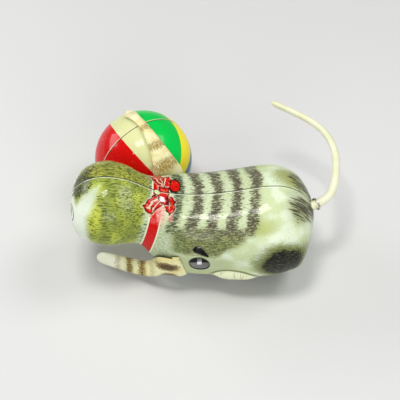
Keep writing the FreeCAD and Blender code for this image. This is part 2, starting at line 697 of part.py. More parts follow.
def make_drive_wheels():
    """Two pressed tin wheels with a rolled groove for the tyre."""
    wheels = []
    for low in (WHEEL_Y[0], -WHEEL_Y[1]):
        high = low + WHEEL_Y[1] - WHEEL_Y[0]
        middle = (low + high) / 2
        disc = cylinder_y(*DRIVE_XZ, RIM_RADIUS, middle - 0.3, middle + 0.3)
        rim = cylinder_y(*DRIVE_XZ, RIM_RADIUS, low + 0.2, high - 0.2)
        rim = rim.cut(cylinder_y(*DRIVE_XZ, RIM_RADIUS - RIM, low, high))
        hub = cylinder_y(*DRIVE_XZ, 1.9, low, high)
        wheel = disc.fuse([rim, hub]).cut(cylinder_y(*DRIVE_XZ, DRIVE_RADIUS, low - 1, high + 1))
        for k in range(4):
            x, z = polar(DRIVE_XZ, 4.4, 45 + 90 * k)
            wheel = wheel.cut(cylinder_y(x, z, 1.0, low - 1, high + 1))
        wheels.append(wheel)
    return Part.makeCompound(wheels)


def make_drive_tyres():
    tyres = []
    for low in (WHEEL_Y[0], -WHEEL_Y[1]):
        high = low + WHEEL_Y[1] - WHEEL_Y[0]
        ring = cylinder_y(*DRIVE_XZ, DRIVE_HEIGHT, low, high)
        ring = ring.makeChamfer(0.4, [edge for edge in ring.Edges if isinstance(edge.Curve, Part.Circle)])
        tyres.append(ring.cut(cylinder_y(*DRIVE_XZ, RIM_RADIUS, low - 1, high + 1)))
    return Part.makeCompound(tyres)


def make_governor_arbor():
    return through_plates(GOVERNOR_XZ, GOVERNOR_RADIUS)


def make_governor_pinion():
    return gear(GOVERNOR_XZ, GOVERNOR_PINION_TEETH, GOVERNOR_PHASE, 3.0, 5.2, GOVERNOR_RADIUS)


def make_governor_fly():
    """Two-bladed fan that limits the speed."""
    x, z = GOVERNOR_XZ
    hub = cylinder_y(x, z, 1.3, -6.0, 1.5)
    blade = Part.makeBox(0.5, 7.0, 7.6, Vector(x - 0.25, -6.0, z - 3.8))
    return hub.fuse(blade).cut(cylinder_y(x, z, GOVERNOR_RADIUS, -7, 3))


def make_stop_lever():
    """Flat lever with a finger towards the flank hole and a tail that dips into the governor's fly."""
    y_low, y_high = LEVER_Y
    arm = prism_y(drop_wire(LEVER_PIVOT, 2.2, LEVER_FINGER, 1.4), y_low, y_high)
    tail = prism_y(drop_wire(LEVER_FINGER, 1.4, LEVER_TAIL, 0.9), y_low, y_high)
    finger = cylinder_y(*LEVER_FINGER, 0.7, y_low, 19.4)
    stop = cylinder_y(*LEVER_TAIL, 0.6, -1.0, y_high)
    lever = arm.fuse([tail, finger, stop])
    return lever.cut(cylinder_y(*LEVER_PIVOT, LEVER_PIVOT_RADIUS + RUNNING_GAP, y_low - 1, y_high + 1))


def make_lever_pivot():
    """Shouldered rivet in the left plate."""
    x, z = LEVER_PIVOT
    pin = cylinder_y(x, z, LEVER_PIVOT_RADIUS, PLATE_Y - SHAFT_PROUD, LEVER_Y[1] + 0.1)
    shoulder = cylinder_y(x, z, 1.5, PLATE_Y + PLATE, LEVER_Y[0] - 0.1)
    head = cylinder_y(x, z, 1.5, LEVER_Y[1] + 0.1, LEVER_Y[1] + 0.7)
    return pin.fuse([shoulder, head])


# ---- write the pieces --------------------------------------------------------------------------
PIECES = {
    "left_shell": make_left_shell, "right_shell": make_right_shell, "neck_tab": make_neck_tab,
    "left_foreleg": make_left_foreleg, "right_foreleg": make_right_foreleg,
    "ball_inner_half": make_ball_inner_half, "ball_outer_half": make_ball_outer_half,
    "ball_axle": make_ball_axle, "ball_washers": make_ball_washers, "ball_bracket": make_ball_bracket,
    "tail_sleeve": make_tail_sleeve, "tail_wire": make_tail_wire, "tail_eyelet": make_tail_eyelet,
    "left_plate": make_left_plate, "right_plate": make_right_plate, "frame_pillars": make_frame_pillars,
    "winding_arbor": make_winding_arbor, "ratchet_wheel": make_ratchet_wheel, "great_wheel": make_great_wheel,
    "click_spring": make_click_spring, "mainspring": make_mainspring, "second_arbor": make_second_arbor,
    "second_pinion": make_second_pinion, "second_wheel": make_second_wheel, "drive_axle": make_drive_axle,
    "drive_pinion": make_drive_pinion, "drive_wheels": make_drive_wheels, "drive_tyres": make_drive_tyres,
    "governor_arbor": make_governor_arbor, "governor_pinion": make_governor_pinion,
    "governor_fly": make_governor_fly, "stop_lever": make_stop_lever, "lever_pivot": make_lever_pivot,
}
for strap_name in STRAPS:
    PIECES[strap_name] = lambda name=strap_name: make_strap(name)

os.makedirs("parts", exist_ok=True)
box = FreeCAD.BoundBox()
for node, make in PIECES.items():
    shape = make()
    shape.translate(ORIGIN_SHIFT)
    shape.exportStep("parts/" + node + ".step")
    box.add(shape.BoundBox)
    print(node, "valid", shape.isValid(), "solids", len(shape.Solids), "volume", round(shape.Volume, 2))
print("whole toy", box)
for name, (x, z) in {"winding": WINDING_XZ, "second": SECOND_XZ, "drive": DRIVE_XZ, "governor": GOVERNOR_XZ}.items():
    print(name, "shaft at", round(x + ORIGIN_SHIFT.x, 4), round(z, 4))
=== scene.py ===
import json
import math
import bpy
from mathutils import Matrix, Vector


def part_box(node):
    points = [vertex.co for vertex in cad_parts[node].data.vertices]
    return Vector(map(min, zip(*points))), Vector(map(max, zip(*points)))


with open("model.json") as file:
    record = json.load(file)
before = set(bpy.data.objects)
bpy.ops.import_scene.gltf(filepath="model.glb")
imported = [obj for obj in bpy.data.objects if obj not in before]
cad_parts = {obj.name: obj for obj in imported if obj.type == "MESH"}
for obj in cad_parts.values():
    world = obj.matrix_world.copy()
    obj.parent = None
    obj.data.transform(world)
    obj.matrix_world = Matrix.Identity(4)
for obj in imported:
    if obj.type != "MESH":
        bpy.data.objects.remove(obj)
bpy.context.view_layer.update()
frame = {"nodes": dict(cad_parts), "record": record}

MM = 1000.0

# ---- places read from the frame ----------------------------------------------------------------
NOSE_X = 58.5              # the nose in the body's own millimetres, in which the print is laid out
shell_low, shell_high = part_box("left_shell")
BODY_ORIGIN = (shell_high[0] * MM - NOSE_X, shell_low[1] * MM, 0.0)
ball_joint = next(j for j in frame["record"]["behaviour"]["joints"] if j["name"] == "ball_spin")
BALL_CENTRE = [c * MM for c in ball_joint["pos_m"]]
BALL_AXIS = Vector(ball_joint["axis"]).normalized()
BALL_SIDE = Vector((BALL_AXIS.y, -BALL_AXIS.x, 0.0))


# ---- camera, light and world -------------------------------------------------------------------
def aim(thing, target):
    thing.rotation_euler = (Vector(target) - thing.location).to_track_quat("-Z", "Y").to_euler()


ELEVATION, DISTANCE = math.radians(50), 0.45
TARGET = Vector((BODY_ORIGIN[0] / MM, (BODY_ORIGIN[1] - 10) / MM, 0.029))
camera = bpy.data.objects.new("camera", bpy.data.cameras.new("camera"))
camera.data.lens = 85.71
camera.data.sensor_width = 36
camera.data.clip_start = 0.01
camera.location = TARGET + Vector((0, math.cos(ELEVATION), math.sin(ELEVATION))) * DISTANCE
bpy.context.collection.objects.link(camera)
aim(camera, TARGET)
bpy.context.scene.camera = camera
bpy.context.scene.view_settings.view_transform = "Standard"


def area_light(name, place, target, width, height, power, colour=(1, 1, 1)):
    data = bpy.data.lights.new(name, "AREA")
    data.shape = "RECTANGLE"
    data.size, data.size_y = width, height
    data.energy = power
    data.color = colour
    lamp = bpy.data.objects.new(name, data)
    bpy.context.collection.objects.link(lamp)
    lamp.location = place
    aim(lamp, target)


area_light("key_softbox", (0.10, 0.05, 0.75), (0, 0, 0.02), 0.16, 0.22, 2.75, (1.0, 0.98, 0.95))
area_light("overhead_softbox", (-0.45, -0.15, 0.70), (0, 0, 0.02), 0.35, 0.35, 2.3)
area_light("head_softbox", (0.60, -0.25, 0.30), (0, 0, 0.03), 0.35, 0.25, 2.0, (0.96, 0.98, 1.0))
area_light("front_fill", (-0.10, 0.75, 0.36), (0, 0, 0.02), 0.50, 0.35, 2.9)
world = bpy.data.worlds.new("studio")
bpy.context.scene.world = world
world.use_nodes = True
world.node_tree.nodes["Background"].inputs["Color"].default_value = (0.90, 0.93, 1.0, 1)
world.node_tree.nodes["Background"].inputs["Strength"].default_value = 0.20


# ---- painting with nodes -----------------------------------------------------------------------
class Num:
    """A number on its way through a material's nodes, with ordinary arithmetic."""

    def __init__(self, paint, socket):
        self.paint, self.socket = paint, socket

    def __add__(self, other):
        return self.paint.math("ADD", self, other)

    def __sub__(self, other):
        return self.paint.math("SUBTRACT", self, other)

    def __rsub__(self, other):
        return self.paint.math("SUBTRACT", other, self)

    def __mul__(self, other):
        return self.paint.math("MULTIPLY", self, other)

    def __truediv__(self, other):
        return self.paint.math("DIVIDE", self, other)

    def __abs__(self):
        return self.paint.math("ABSOLUTE", self)

    __radd__, __rmul__ = __add__, __mul__


class Paint:
    """One procedural material. Lengths in its patterns are millimetres in the object's rest frame."""

    def __init__(self, name, strength=1.0):
        self.material = bpy.data.materials.new(name)
        self.material.use_nodes = True
        self.tree = self.material.node_tree
        self.shader = self.tree.nodes["Principled BSDF"]
        self.strength = strength

    def put(self, socket, value):
        if isinstance(value, Num):
            self.tree.links.new(value.socket, socket)
        elif isinstance(value, tuple) and len(value) == 3 and socket.type == "RGBA":
            socket.default_value = (*self.vivid(value), 1)
        else:
            socket.default_value = value

    def vivid(self, colour):
        """The colour with its distance from grey scaled by self.strength."""
        grey = sum(colour) / 3
        return [max(0.001, grey + (c - grey) * self.strength) for c in colour]

    def node(self, kind, inputs, out=0, **settings):
        node = self.tree.nodes.new(kind)
        for key, value in settings.items():
            setattr(node, key, value)
        for key, value in inputs.items():
            self.put(node.inputs[key], value)
        return Num(self, node.outputs[out])

    def math(self, operation, *values):
        return self.node("ShaderNodeMath", dict(enumerate(values)), operation=operation)

    def low(self, *values):
        result = values[0]
        for value in values[1:]:
            result = self.math("MINIMUM", result, value)
        return result

    def high(self, *values):
        result = values[0]
        for value in values[1:]:
            result = self.math("MAXIMUM", result, value)
        return result

    def root(self, value):
        return self.math("SQRT", value)

    def step(self, value, start, end):
        """0 at start and 1 at end, smoothly."""
        return self.node("ShaderNodeMapRange", {0: value, 1: start, 2: end},
                         interpolation_type="SMOOTHSTEP")

    def vector(self, x, y, z):
        return self.node("ShaderNodeCombineXYZ", {0: x, 1: y, 2: z})

    def position(self, origin):
        place = self.node("ShaderNodeTexCoord", {}, out="Object")
        place = self.node("ShaderNodeVectorMath", {0: place, 1: (MM, MM, MM), 2: tuple(-c for c in origin)},
                          operation="MULTIPLY_ADD")
        split = self.tree.nodes.new("ShaderNodeSeparateXYZ")
        self.tree.links.new(place.socket, split.inputs[0])
        return [Num(self, socket) for socket in split.outputs]

    def noise(self, place, detail=2.0, roughness=0.5):
        return self.node("ShaderNodeTexNoise", {"Vector": place, "Scale": 1.0, "Detail": detail,
                                                "Roughness": roughness})

    def mix(self, under, over, amount):
        node = self.tree.nodes.new("ShaderNodeMix")
        node.data_type = "RGBA"
        self.put(node.inputs[0], amount)
        self.put(node.inputs[6], under)
        self.put(node.inputs[7], over)
        return Num(self, node.outputs[2])

    def polygon(self, x, y, corners):
        """How far outside a convex shape a point is; below 0 inside. Corners run anticlockwise."""
        result = None
        for (ax, ay), (bx, by) in zip(corners, corners[1:] + corners[:1]):
            length = math.hypot(bx - ax, by - ay)
            nx, ny = (by - ay) / length, (ax - bx) / length
            edge = x * nx + y * ny - (ax * nx + ay * ny)
            result = edge if result is None else self.high(result, edge)
        return result

    def ellipse(self, x, y, centre, half_x, half_y):
        """1 on the ellipse, and 0 at its centre."""
        u, v = (x - centre[0]) / half_x, (y - centre[1]) / half_y
        return self.root(u * u + v * v)

    def use(self, socket, value):
        self.put(self.shader.inputs[socket], value)

    def bump(self, height, distance, strength=1.0):
        normal = self.node("ShaderNodeBump", {"Height": height, "Distance": distance, "Strength": strength})
        self.use("Normal", normal)


INK_STRENGTH = 1.05
LACQUER = {"Coat Weight": 0.28, "Coat Roughness": 0.05, "Coat IOR": 1.5,
           "IOR": 1.45, "Specular IOR Level": 0.08}


def lacquer(name):
    paint = Paint(name, INK_STRENGTH)
    for socket, value in LACQUER.items():
        paint.shader.inputs[socket].default_value = value
    return paint


# ---- printed tabby body ------------------------------------------------------------------------
PALE, WHITE = (0.58, 0.67, 0.39), (0.71, 0.80, 0.60)
OLIVE, OLIVE_LIGHT = (0.175, 0.210, 0.070), (0.38, 0.43, 0.15)
INK = (0.012, 0.012, 0.008)
HEAD_OLIVE, HEAD_YELLOW, HEAD_FAR = (0.27, 0.33, 0.060), (0.50, 0.58, 0.085), (0.46, 0.46, 0.085)
CHEST = (0.38, 0.45, 0.24)
RED, DEEP_RED, CREAM = (0.60, 0.004, 0.002), (0.18, 0.001, 0.001), (0.82, 0.82, 0.60)
EDGE_RED, BOW_PINK, BOW_GLOW = (0.050, 0.003, 0.002), (0.80, 0.52, 0.46), (0.90, 0.62, 0.46)
BAND_PITCH, BAND_LEAN = 8.77, 0.0014
BAND_AT = 0.75                         # x at which one of the bands crosses the back seam
BODY_AXIS_Z, HEAD_AXIS_Z = 26, 38      # the angles round the body and the head are measured about these
COLLAR_SLOPE, COLLAR_AT = 0.27, 31.69  # the collar's middle line is x + COLLAR_SLOPE * z = COLLAR_AT
HAUNCH_PATCH, RUMP, HIND_PAW = (-37.5, 89.0), (-47.5, 22.0), (-16.5, 121.0)    # x, degrees from the back
WINDING_HOLE = (0.3, 22.6)                                                     # x, z
EYE, PUPIL, GLINT, SMILE = (8.4, 42.6), (8.0, 42.6), (7.2, 43.6), (2.3, 34.6)  # distance from the seam, z


class Tabby:
    """The body's coordinates and the hair textures that its print is made of."""

    def __init__(self, paint):
        self.paint = paint
        self.x, self.y, self.z = x, y, z = paint.position(BODY_ORIGIN)
        self.side = abs(y)
        self.angle = paint.math("ARCTAN2", self.side, z - BODY_AXIS_Z) * math.degrees(1)
        self.head_angle = paint.math("ARCTAN2", self.side, z - HEAD_AXIS_Z) * math.degrees(1)
        self.collar = x + z * COLLAR_SLOPE - COLLAR_AT
        self.hair = self.texture(0.42, 1.9, detail=4.0, roughness=0.66)
        self.drift = paint.noise(paint.vector(x * 0.11, y * 0.13, z * 0.13), detail=1.0)
        self.fleck = self.texture(1.7, 1.7)

    def texture(self, along, across, detail=2.0, roughness=0.5, shift=(0, 0)):
        """Noise with its own fineness along the body and across it; shift moves it in y and z."""
        y, z = self.y * across, self.z * across
        y = y + shift[0] if shift[0] else y
        z = z + shift[1] if shift[1] else z
        return self.paint.noise(self.paint.vector(self.x * along, y, z), detail=detail, roughness=roughness)

    def strokes(self, cover, texture):
        """Share of dark hair strokes for a cover from 0 to 1."""
        return self.paint.step(texture + (cover - 0.5) * 0.50, 0.44, 0.56)


def tabby_print():
    p = lacquer("tabby_print")
    t = Tabby(p)
    colour = paint_torso(p, t)
    colour = paint_hind_paw(p, t, colour)
    colour = p.mix(colour, paint_head(p, t), p.step(t.collar, 2.0, 2.4))
    colour = paint_collar(p, t, colour)
    colour = paint_bow(p, t, colour)
    colour = paint_seam_and_hole(p, t, colour)
    # painted shade: the shell's inner faces are painted near black
    inside = inside_of_shell(p, t)
    colour = p.mix(colour, p.mix((0.040, 0.036, 0.028), (0.070, 0.064, 0.050), t.drift), inside)
    p.use("Base Color", colour)
    p.use("Metallic", inside * 0.9)
    p.use("Roughness", 0.30 + t.fleck * 0.14 + inside * 0.10)
    p.bump(t.drift * 0.5 + t.hair * 0.04 + t.fleck * 0.02, 0.0006, 0.55)
    return p.material


def paint_torso(p, t):
    """Back, flanks and haunches: pale fur with olive patches under dark hair strokes."""
    x, y, angle, hair, drift, fleck = t.x, t.y, t.angle, t.hair, t.drift, t.fleck
    colour = p.mix(PALE, WHITE, p.step(drift + (fleck - 0.5) * 0.25, 0.40, 0.62))
    saddle = p.step(angle, 60, 45) * p.step(x, -32, -26)
    colour = p.mix(colour, p.mix((0.50, 0.58, 0.32), (0.60, 0.68, 0.46), hair), saddle * 0.75)
    lower_edge = angle - 84 - p.low(x + 7, 0) * 2.0 + (drift - 0.5) * 16
    olive = p.step(angle, 43, 57) * p.step(lower_edge, 7, -7) * p.step(x + (hair - 0.5) * 8, 17, 10)
    warm = p.step(p.ellipse(x, angle, (-27.0, 46.0), 8.0, 12.0), 1.2, 0.2)
    colour = p.mix(colour, (0.42, 0.47, 0.13), warm * 0.75)
    colour = p.mix(colour, p.mix(OLIVE, OLIVE_LIGHT, p.step(fleck, 0.42, 0.68)), olive)
    low_flank = p.step(angle, 80, 92) * p.step(x, -22, -8)
    colour = p.mix(colour, p.mix((0.36, 0.42, 0.20), (0.52, 0.58, 0.34), hair), low_flank * 0.8)
    chest = p.step(x, 10, 17) * p.step(angle, 40, 56)
    colour = p.mix(colour, p.mix(CHEST, WHITE, p.step(hair, 0.45, 0.65)), chest * 0.85)
    halo = p.ellipse(x, angle, HAUNCH_PATCH, 9.6, 19.0) + (hair - 0.5) * 0.9 + (drift - 0.5) * 0.3
    colour = p.mix(colour, p.mix(OLIVE, (0.16, 0.17, 0.05), hair), p.step(halo, 1.75, 1.05))
    patch = p.mix((0.006, 0.006, 0.004), (0.085, 0.095, 0.045), p.step(hair, 0.50, 0.66))
    colour = p.mix(colour, patch, p.step(halo, 1.12, 0.90))
    rump = p.step(p.ellipse(x, angle, RUMP, 11.0, 27.0) + (drift - 0.5) * 0.3, 1.15, 0.35)
    far_side = p.step(y, 0.0, -0.4)
    colour = p.mix(colour, (0.27, 0.29, 0.155), rump * (0.80 - far_side * 0.2))
    far_patch = p.step(p.ellipse(x, angle, (-40.0, 20.0), 9.0, 20.0) + (fleck - 0.5), 1.1, 0.4) * far_side
    colour = p.mix(colour, (0.30, 0.32, 0.075), far_patch * 0.8)
    return paint_torso_strokes(p, t, colour, olive, saddle, rump)


def paint_torso_strokes(p, t, colour, olive, saddle, rump):
    """Dark hair strokes in the bands, the olive patches and the rump, and light hairs among them."""
    x, angle, drift = t.x, t.angle, t.drift
    band = cross_bands(p, t)
    olive_edge = p.step(angle, 44, 52) * p.step(angle, 68, 56) * p.step(x, 15, 10) * p.step(x, -24, -17)
    patchy = p.step(drift, 0.30, 0.62) * 0.16
    cover = p.high(band * (0.60 + patchy), olive * 0.50, olive_edge * (0.56 + patchy), saddle * 0.27, 0.14)
    shadow_tint = p.mix((0.235, 0.235, 0.125), (0.30, 0.30, 0.175), t.fleck)
    colour = p.mix(colour, shadow_tint, p.high(band * 0.66, olive_edge * 0.35))
    dark = t.strokes(cover, t.hair)
    profile = p.math("ARCTAN2", t.z - 28, x + 30) * math.degrees(1)
    hatch = p.noise(p.vector(profile * 0.055, t.y * 1.25 + profile * 0.02, 5.0), detail=3.0, roughness=0.6)
    dark = p.high(dark, t.strokes(rump * 0.60, hatch) * p.step(rump, 0.05, 0.30))
    green_band = p.step(x, 5, 7)
    ink = p.mix((0.045, 0.040, 0.024), (0.085, 0.070, 0.045), drift)
    ink = p.mix(ink, (0.038, 0.062, 0.026), green_band)
    colour = p.mix(colour, ink, dark * (0.92 - olive * 0.20))
    light_hair = p.step(t.texture(0.5, 2.8, detail=3.0, shift=(0, 40)), 0.56, 0.68)
    return p.mix(colour, (0.66, 0.72, 0.47), light_hair * p.high(band * 0.72, olive * 0.34))


def cross_bands(p, t):
    """Five cross bands over the back, with edges as ragged as hair."""
    jag = t.texture(0.42, 1.6, detail=3.0, roughness=0.6, shift=(60, 0))
    lean = t.angle * t.angle * BAND_LEAN
    along = (t.x - BAND_AT - lean + (jag - 0.5) * 6.5 + (t.drift - 0.5) * 3.0) / BAND_PITCH
    distance = abs(along - p.math("ROUND", along)) * BAND_PITCH
    band = p.step(distance, 4.0, 0.8 + p.step(t.angle, 10, 45) * 0.7)
    band = band * p.step(along, 1.45, 1.30) * p.step(along, -3.5, -3.3)
    return band * p.step(t.angle, 62, 48)


def paint_hind_paw(p, t, colour):
    """Pale paw with an outline, folded against the belly's edge."""
    reach = p.ellipse(t.x, t.angle, HIND_PAW, 11.6, 17.5)
    toes = p.noise(p.vector(t.x * 1.3, t.y * 0.25, t.z * 0.25))
    fur = p.mix((0.84, 0.88, 0.60), (0.46, 0.50, 0.30), p.step(toes, 0.54, 0.68) * 0.7)
    colour = p.mix(colour, fur, p.step(reach, 1.04, 0.94))
    outline = p.step(abs(reach - 1.0), 0.09, 0.02) * p.step(t.angle, 128, 110)
    return p.mix(colour, (0.20, 0.23, 0.10), outline)


def paint_head(p, t):
    """Olive head with a pale front and nape, dark strokes and a few pale squiggles."""
    x, y, z, head_angle, hair, drift = t.x, t.y, t.z, t.head_angle, t.hair, t.drift
    head_hair = t.texture(0.30, 1.7, detail=4.0, roughness=0.68)
    far_head = p.step(y, 0.1, -0.3)
    head = p.mix(HEAD_OLIVE, HEAD_YELLOW, p.step(drift + (head_hair - 0.5) * 1.1, 0.44, 0.68))
    cheek = p.step(p.ellipse(x, head_angle, (47.0, 58.0), 4.6, 34.0), 1.15, 0.30)
    head = p.mix(head, (0.62, 0.69, 0.100), cheek * 0.80)
    jowl = p.step(p.ellipse(x, head_angle, (27.0, 52.0), 3.5, 26.0), 1.2, 0.3)
    head = p.mix(head, (0.36, 0.41, 0.060), jowl * 0.6)
    far_fur = p.mix(HEAD_FAR, (0.30, 0.20, 0.05), p.step(t.fleck, 0.55, 0.70))
    head = p.mix(head, far_fur, far_head * 0.70)
    pale_top = p.step(p.ellipse(x, y, (32.5, 9.5), 4.2, 5.0) + (head_hair - 0.5) * 1.2, 1.1, 0.45)
    head = p.mix(head, (0.46, 0.52, 0.27), pale_top * 0.55)
    under = p.step(z + (drift - 0.5) * 7, 34, 26)
    head = p.mix(head, (0.50, 0.56, 0.34), under * 0.7)
    nape = p.step(t.collar + (hair - 0.5) * 4 - p.step(head_angle, 20, 50) * 1.2, 5.8, 2.8)
    head = p.mix(head, (0.55, 0.66, 0.44), nape * 0.80)
    front = pale_front(p, t)
    front_shade = p.step(z + (head_hair - 0.5) * 8, 49, 55)
    head = p.mix(head, p.mix((0.80, 0.87, 0.75), (0.60, 0.68, 0.52), front_shade), front * 0.92)
    stripes = p.step(x, 42, 51) * p.step(head_angle, 46, 22)
    stripe_cover = p.high(stripes * 0.66, far_head * 0.50, 0.44 - under * 0.2) - front * 0.5
    pale_hair = t.texture(0.35, 1.9, detail=3.0, shift=(0, 30))
    pale_hair = p.step(pale_hair, 0.55, 0.68) * p.step(head_angle, 75, 50)
    head = p.mix(head, (0.62, 0.68, 0.28), pale_hair * (0.50 - front * 0.5))
    stroke_ink = p.mix((0.075, 0.095, 0.020), (0.030, 0.034, 0.020), stripes)
    head = p.mix(head, stroke_ink, t.strokes(stripe_cover, head_hair) * 0.95)
    # a few pale squiggly strokes on the near side of the head
    pale_squiggle = p.noise(p.vector(x * 0.9 + y * 0.5, y * 0.9 - z * 0.4, z * 0.8), detail=0.0)
    pale_squiggle = p.step(abs(pale_squiggle - 0.5), 0.0055, 0.002)
    pale_squiggle = pale_squiggle * p.step(p.ellipse(x, y, (40.0, 14.0), 6.0, 5.5), 1.0, 0.6)
    head = p.mix(head, (0.86, 0.88, 0.70), pale_squiggle * 0.9)
    return paint_face(p, t, head)


def pale_front(p, t):
    """Where the front of the head is white: a wedge over the left cheek, and lower down on the right."""
    x, y, z, hair = t.x, t.y, t.z, t.hair
    edge = x + (hair - 0.5) * 4.0
    near_front = p.step(edge + p.high(z - 47.0, 0) * 0.62, 48.2, 52.2)
    near_front = near_front * p.step(y - 9.0 + (54.0 - x) * 0.5 + (hair - 0.5) * 5.0, -2.2, 2.2)
    far_front = p.step(edge, 51.0, 53.5) * p.step(z + (hair - 0.5) * 3, 50.0, 47.0)
    return p.high(near_front, far_front)


def paint_face(p, t, head):
    """A plain kitten face: white muzzle, pink nose, mouth, green eyes, whiskers and brow stripes."""
    side, z = t.side, t.z
    front = p.step(t.x, 46, 49)

    def from_point(point):
        return p.root((side - point[0]) * (side - point[0]) + (z - point[1]) * (z - point[1]))

    muzzle = p.step(p.ellipse(side, z, (0.0, 34.0), 10.5, 7.2) + (t.hair - 0.5) * 0.25, 1.12, 0.86)
    head = p.mix(head, (0.90, 0.90, 0.80), muzzle * front)
    brow = p.step(abs(side - 2.6), 1.0, 0.5) * p.step(z, 45, 47.5) * p.step(z, 54.5, 51.5)
    brow = p.high(brow, p.step(side, 0.75, 0.3) * p.step(z, 43, 46) * p.step(z, 54, 51))
    head = p.mix(head, (0.05, 0.055, 0.03), brow * front * 0.85)
    eye = p.ellipse(side, z, EYE, 3.7, 2.9)
    head = p.mix(head, (0.02, 0.02, 0.015), p.step(eye, 1.22, 1.12) * front)
    head = p.mix(head, (0.92, 0.93, 0.86), p.step(eye, 1.02, 0.94) * front)
    iris = from_point(PUPIL)
    iris_colour = p.mix((0.10, 0.38, 0.12), (0.42, 0.60, 0.10), p.step(iris, 2.4, 1.0))
    head = p.mix(head, iris_colour, p.step(iris, 2.55, 2.35) * p.step(eye, 1.02, 0.94) * front)
    head = p.mix(head, INK, p.step(p.ellipse(side, z, PUPIL, 0.95, 2.1), 1.06, 0.90) * front)
    head = p.mix(head, (0.98, 0.98, 0.98), p.step(from_point(GLINT), 0.62, 0.42) * front)
    nose = p.polygon(side, z, [(-1.0, 38.6), (0.0, 35.6), (2.3, 38.0), (2.0, 38.9)])
    head = p.mix(head, (0.72, 0.16, 0.16), p.step(nose, 0.10, -0.12) * front)
    smile = abs(from_point(SMILE) - SMILE[0])    # each half of the mouth starts at the seam
    smile = p.step(smile, 0.36, 0.18) * p.step(z, 34.9, 34.3)
    smile = p.high(smile, p.step(side, 0.30, 0.15) * p.step(z, 33.6, 34.0) * p.step(z, 36.2, 35.8))
    head = p.mix(head, (0.10, 0.03, 0.02), smile * front)
    for root_z, slope in ((36.1, 0.22), (34.8, 0.02), (33.5, -0.18)):
        whisker = p.step(abs(z - side * slope - root_z), 0.26, 0.12)
        whisker = whisker * p.step(side, 5.4, 6.4) * p.step(side, 15.0, 12.5)
        head = p.mix(head, (0.07, 0.06, 0.04), whisker * p.step(t.x, 44, 47) * 0.9)
    return head


def paint_collar(p, t, colour):
    """Red ribbon round the neck, with cream edges and orange specks."""
    ribbon = abs(t.collar)
    colour = p.mix(colour, CREAM, p.step(ribbon, 3.1, 2.7))
    red = p.mix(RED, DEEP_RED, p.step(ribbon, 1.5, 2.3) * 0.6)
    red = p.mix(red, (0.85, 0.30, 0.08), p.step(t.fleck, 0.66, 0.72) * 0.7)
    return p.mix(colour, red, p.step(ribbon, 2.35, 2.15))


def paint_seam_and_hole(p, t, colour):
    """The seam gets a painted shadow in its gap and a painted highlight along the near half's lip. The key
    hole has a dark ring painted round it.
    """
    x, y, z = t.x, t.y, t.z
    # painted shadow in the seam's gap, on the far half's edge
    seam = p.step(y, -0.65, -0.30) * p.step(z, 20, 24)
    colour = p.mix(colour, (0.03, 0.03, 0.02), seam * 0.85 * p.step(y, 0.1, 0.0))
    # painted highlight along the near half's lip beside the seam
    lip_highlight = p.step(y, 0.10, 0.22) * p.step(y, 0.75, 0.45) * p.step(z, 20, 24)
    colour = p.mix(colour, (0.80, 0.86, 0.68), lip_highlight * 0.55)
    # a dark ring painted round the key hole
    dx, dz = x - WINDING_HOLE[0], z - WINDING_HOLE[1]
    dark_ring = p.step(p.root(dx * dx + dz * dz), 5.1, 4.7) * p.step(y, 10, 15)
    return p.mix(colour, (0.03, 0.035, 0.02), dark_ring)


def inside_of_shell(p, t):
    """1 on faces that look towards the body's middle line."""
    normal = p.node("ShaderNodeTexCoord", {}, out="Normal")
    centre_x = p.low(p.high(t.x, -38.0), 45.0)
    centre_z = p.step(t.x, 18, 32) * 12.0 + 26.0
    outward = p.vector(t.x - centre_x, t.y, t.z - centre_z)
    facing = p.node("ShaderNodeVectorMath", {0: normal, 1: outward}, out="Value", operation="DOT_PRODUCT")
    return p.step(facing, 0.5, -0.5)


BOW_NEAR_LOOP = [(18.0, 2.2), (20.6, 3.0), (25.4, 9.3), (22.4, 11.6), (16.6, 6.6)]
BOW_KNOT = [(18.2, -3.0), (18.8, 2.4), (17.4, 6.4), (14.6, 6.4), (14.0, -3.0)]
BOW_NEAR_LOBE = [(15.4, 2.4), (15.6, 8.0), (13.6, 11.0), (11.6, 9.0), (11.4, 4.6), (13.0, 2.0)]
BOW_FAR_LOOP = [(14.4, -11.4), (23.0, -9.8), (22.6, -8.4), (17.4, -2.2), (14.2, -2.6), (12.8, -8.0)]
BOW_TAIL = [(20.4, 8.4), (19.0, 16.0), (16.0, 15.6), (14.6, 6.0)]
BOW_LOW_TAIL = [(14.0, 9.0), (14.6, 14.6), (12.0, 14.0), (11.8, 9.6)]
BOW_FOLDS = [
    [(18.6, 4.0), (19.2, 3.7), (24.0, 9.4), (23.2, 10.0)],
    [(17.8, 5.2), (18.2, 5.0), (21.6, 10.2), (21.2, 10.5)],
    [(15.4, -10.2), (16.1, -10.4), (16.5, -4.0), (15.9, -4.0)],
    [(20.6, -9.4), (21.4, -9.2), (17.0, -3.4), (16.5, -3.6)],
    [(18.2, -9.6), (18.7, -9.6), (16.9, -4.6), (16.6, -4.7)],
    [(13.9, 3.4), (14.3, 3.4), (13.7, 9.0), (13.2, 9.0)],
]
BOW_OVAL = (11.6, -5.0)


